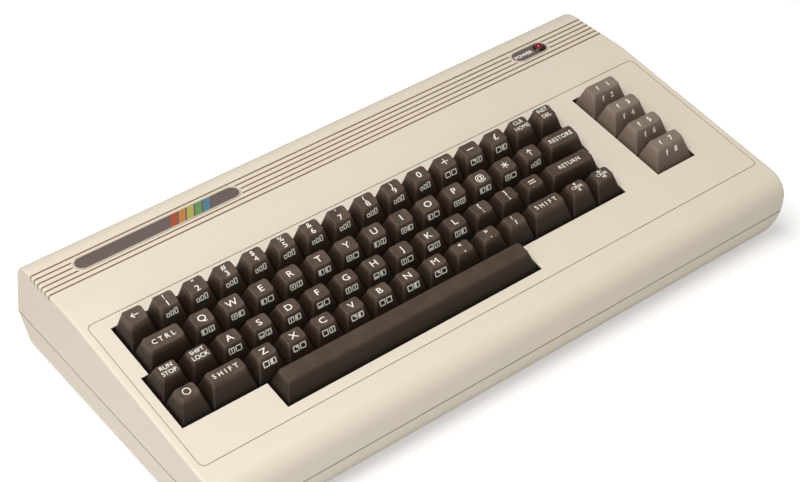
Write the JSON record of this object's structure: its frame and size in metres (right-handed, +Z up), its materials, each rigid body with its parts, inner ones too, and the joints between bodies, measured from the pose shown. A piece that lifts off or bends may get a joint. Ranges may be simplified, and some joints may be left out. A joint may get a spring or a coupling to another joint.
{
  "type": "home computer",
  "caption": "Wedge-shaped cream home computer with a built-in dark brown keyboard, function keys, grooved rear strip, side power switch and sockets.",
  "frame": {"origin": "on the table under the middle of the case", "axes": "+X to the right along the keyboard, -Y to the front edge, +Z up"},
  "size_m": [0.404, 0.2129, 0.0768],
  "materials": {
    "case": "fine-grained moulded cream plastic, slightly aged",
    "key": "dark brown, satin, worn on the finger faces",
    "function_key": "grey-brown, satin",
    "badge": "printed field in a pale metal rim",
    "lamp": "dark red, clear dome, unlit",
    "black_gloss": "black, smooth",
    "black_plastic": "black, fine grain",
    "cable": "grey flat cable",
    "circuit_board": "green solder mask",
    "steel": "zinc-plated",
    "spring_steel": "bare spring wire",
    "header": "off-white nylon",
    "chip": "black moulded cases",
    "capacitor": "blue sleeves",
    "fuse_glass": "clear",
    "contact_brass": "spring brass",
    "heat_sink": "bare extrusion",
    "tin_plate": "tinned sheet",
    "foot_rubber": "dark, matte"
  },
  "bodies": {
    "housing": {"board_headers": "header", "board_screws": "steel", "bottom_case": "case", "capacitors": "capacitor", "cartridge_socket": "black_plastic", "case_screws": "steel", "control_port_1": "tin_plate", "control_port_2": "tin_plate", "fuse": "fuse_glass", "fuse_clips": "contact_brass", "heat_sink": "heat_sink", "integrated_circuits": "chip", "key_springs": "spring_steel", "keyboard_board_screws": "steel", "keyboard_cable": "cable", "keyboard_circuit_board": "circuit_board", "keyboard_frame": "black_plastic", "keyboard_screws": "steel", "led_cable": "cable", "led_holder": "black_gloss", "main_badge": "badge", "main_circuit_board": "circuit_board", "power_badge": "badge", "power_inlet": "black_plastic", "power_led": "lamp", "power_switch_body": "black_plastic", "rf_modulator": "tin_plate", "rubber_feet": "foot_rubber", "serial_socket": "black_plastic", "top_case": "case", "video_socket": "black_plastic"},
    "number_keys_left": {"number_keys_left": "key"},
    "number_keys_right": {"number_keys_right": "key"},
    "home_key": {"home_key": "key"},
    "delete_key": {"delete_key": "key"},
    "control_key": {"control_key": "key"},
    "upper_keys_left": {"upper_keys_left": "key"},
    "upper_keys_right": {"upper_keys_right": "key"},
    "restore_key": {"restore_key": "key"},
    "stop_key": {"stop_key": "key"},
    "shift_lock_key": {"shift_lock_key": "key"},
    "middle_keys_left": {"middle_keys_left": "key"},
    "middle_keys_right": {"middle_keys_right": "key"},
    "return_key": {"return_key": "key"},
    "command_key": {"command_key": "key"},
    "left_shift_key": {"left_shift_key": "key"},
    "lower_keys_left": {"lower_keys_left": "key"},
    "lower_keys_right": {"lower_keys_right": "key"},
    "right_shift_key": {"right_shift_key": "key"},
    "cursor_vertical_key": {"cursor_vertical_key": "key"},
    "cursor_horizontal_key": {"cursor_horizontal_key": "key"},
    "space_bar": {"space_bar": "key"},
    "function_key_1": {"function_key_1": "function_key"},
    "function_key_3": {"function_key_3": "function_key"},
    "function_key_5": {"function_key_5": "function_key"},
    "function_key_7": {"function_key_7": "function_key"},
    "space_bar_wire": {"space_bar_wire": "spring_steel"},
    "power_rocker": {"power_rocker": "black_gloss"},
    "channel_slider": {"channel_slider": "black_plastic"}
  },
  "joints": [
    {"name": "number_keys_left_press", "type": "slide", "parent": "housing", "child": "number_keys_left", "axis": [0, 0.1392, -0.9903], "range_m": [0, 0.0038], "stiffness_N_per_m": 840, "springref_m": -0.003, "deforming": ["key_springs"]},
    {"name": "number_keys_right_press", "type": "slide", "parent": "housing", "child": "number_keys_right", "axis": [0, 0.1392, -0.9903], "range_m": [0, 0.0038], "stiffness_N_per_m": 840, "springref_m": -0.003, "deforming": ["key_springs"]},
    {"name": "home_key_press", "type": "slide", "parent": "housing", "child": "home_key", "axis": [0, 0.1392, -0.9903], "range_m": [0, 0.0038], "stiffness_N_per_m": 120, "springref_m": -0.003, "deforming": ["key_springs"]},
    {"name": "delete_key_press", "type": "slide", "parent": "housing", "child": "delete_key", "axis": [0, 0.1392, -0.9903], "range_m": [0, 0.0038], "stiffness_N_per_m": 120, "springref_m": -0.003, "deforming": ["key_springs"]},
    {"name": "control_key_press", "type": "slide", "parent": "housing", "child": "control_key", "axis": [0, 0.1392, -0.9903], "range_m": [0, 0.0038], "stiffness_N_per_m": 120, "springref_m": -0.003, "deforming": ["key_springs"]},
    {"name": "upper_keys_left_press", "type": "slide", "parent": "housing", "child": "upper_keys_left", "axis": [0, 0.1392, -0.9903], "range_m": [0, 0.0038], "stiffness_N_per_m": 720, "springref_m": -0.003, "deforming": ["key_springs"]},
    {"name": "upper_keys_right_press", "type": "slide", "parent": "housing", "child": "upper_keys_right", "axis": [0, 0.1392, -0.9903], "range_m": [0, 0.0038], "stiffness_N_per_m": 840, "springref_m": -0.003, "deforming": ["key_springs"]},
    {"name": "restore_key_press", "type": "slide", "parent": "housing", "child": "restore_key", "axis": [0, 0.1392, -0.9903], "range_m": [0, 0.0038], "stiffness_N_per_m": 120, "springref_m": -0.003, "deforming": ["key_springs"]},
    {"name": "stop_key_press", "type": "slide", "parent": "housing", "child": "stop_key", "axis": [0, 0.1392, -0.9903], "range_m": [0, 0.0038], "stiffness_N_per_m": 120, "springref_m": -0.003, "deforming": ["key_springs"]},
    {"name": "shift_lock_key_press", "type": "slide", "parent": "housing", "child": "shift_lock_key", "axis": [0, 0.1392, -0.9903], "range_m": [0, 0.0038], "deforming": ["key_springs"]},
    {"name": "middle_keys_left_press", "type": "slide", "parent": "housing", "child": "middle_keys_left", "axis": [0, 0.1392, -0.9903], "range_m": [0, 0.0038], "stiffness_N_per_m": 720, "springref_m": -0.003, "deforming": ["key_springs"]},
    {"name": "middle_keys_right_press", "type": "slide", "parent": "housing", "child": "middle_keys_right", "axis": [0, 0.1392, -0.9903], "range_m": [0, 0.0038], "stiffness_N_per_m": 720, "springref_m": -0.003, "deforming": ["key_springs"]},
    {"name": "return_key_press", "type": "slide", "parent": "housing", "child": "return_key", "axis": [0, 0.1392, -0.9903], "range_m": [0, 0.0038], "stiffness_N_per_m": 120, "springref_m": -0.003, "deforming": ["key_springs"]},
    {"name": "command_key_press", "type": "slide", "parent": "housing", "child": "command_key", "axis": [0, 0.1392, -0.9903], "range_m": [0, 0.0038], "stiffness_N_per_m": 120, "springref_m": -0.003, "deforming": ["key_springs"]},
    {"name": "left_shift_key_press", "type": "slide", "parent": "housing", "child": "left_shift_key", "axis": [0, 0.1392, -0.9903], "range_m": [0, 0.0038], "stiffness_N_per_m": 120, "springref_m": -0.003, "deforming": ["key_springs"]},
    {"name": "lower_keys_left_press", "type": "slide", "parent": "housing", "child": "lower_keys_left", "axis": [0, 0.1392, -0.9903], "range_m": [0, 0.0038], "stiffness_N_per_m": 600, "springref_m": -0.003, "deforming": ["key_springs"]},
    {"name": "lower_keys_right_press", "type": "slide", "parent": "housing", "child": "lower_keys_right", "axis": [0, 0.1392, -0.9903], "range_m": [0, 0.0038], "stiffness_N_per_m": 600, "springref_m": -0.003, "deforming": ["key_springs"]},
    {"name": "right_shift_key_press", "type": "slide", "parent": "housing", "child": "right_shift_key", "axis": [0, 0.1392, -0.9903], "range_m": [0, 0.0038], "stiffness_N_per_m": 120, "springref_m": -0.003, "deforming": ["key_springs"]},
    {"name": "cursor_vertical_key_press", "type": "slide", "parent": "housing", "child": "cursor_vertical_key", "axis": [0, 0.1392, -0.9903], "range_m": [0, 0.0038], "stiffness_N_per_m": 120, "springref_m": -0.003, "deforming": ["key_springs"]},
    {"name": "cursor_horizontal_key_press", "type": "slide", "parent": "housing", "child": "cursor_horizontal_key", "axis": [0, 0.1392, -0.9903], "range_m": [0, 0.0038], "stiffness_N_per_m": 120, "springref_m": -0.003, "deforming": ["key_springs"]},
    {"name": "space_bar_press", "type": "slide", "parent": "housing", "child": "space_bar", "axis": [0, 0.1392, -0.9903], "range_m": [0, 0.0038], "stiffness_N_per_m": 120, "springref_m": -0.003, "deforming": ["key_springs"]},
    {"name": "function_key_1_press", "type": "slide", "parent": "housing", "child": "function_key_1", "axis": [0, 0.1392, -0.9903], "range_m": [0, 0.0038], "stiffness_N_per_m": 120, "springref_m": -0.003, "deforming": ["key_springs"]},
    {"name": "function_key_3_press", "type": "slide", "parent": "housing", "child": "function_key_3", "axis": [0, 0.1392, -0.9903], "range_m": [0, 0.0038], "stiffness_N_per_m": 120, "springref_m": -0.003, "deforming": ["key_springs"]},
    {"name": "function_key_5_press", "type": "slide", "parent": "housing", "child": "function_key_5", "axis": [0, 0.1392, -0.9903], "range_m": [0, 0.0038], "stiffness_N_per_m": 120, "springref_m": -0.003, "deforming": ["key_springs"]},
    {"name": "function_key_7_press", "type": "slide", "parent": "housing", "child": "function_key_7", "axis": [0, 0.1392, -0.9903], "range_m": [0, 0.0038], "stiffness_N_per_m": 120, "springref_m": -0.003, "deforming": ["key_springs"]},
    {"name": "space_bar_wire_turn", "type": "hinge", "parent": "housing", "child": "space_bar_wire", "pos_m": [-0.05265, -0.06366, 0.0492], "axis": [1, 0, 0], "range_deg": [0, 22]},
    {"name": "power_rocker_swing", "type": "hinge", "parent": "housing", "child": "power_rocker", "pos_m": [0.197, 0.044, 0.021], "axis": [0, 0, 1], "range_deg": [0, 16]},
    {"name": "channel_slider_slide", "type": "slide", "parent": "housing", "child": "channel_slider", "axis": [1, 0, 0], "range_m": [0, 0.003]}
  ],
  "couplings": [
    {"joint": "space_bar_wire_turn", "follows": "space_bar_press", "rad_per_m": 100.61}
  ]
}
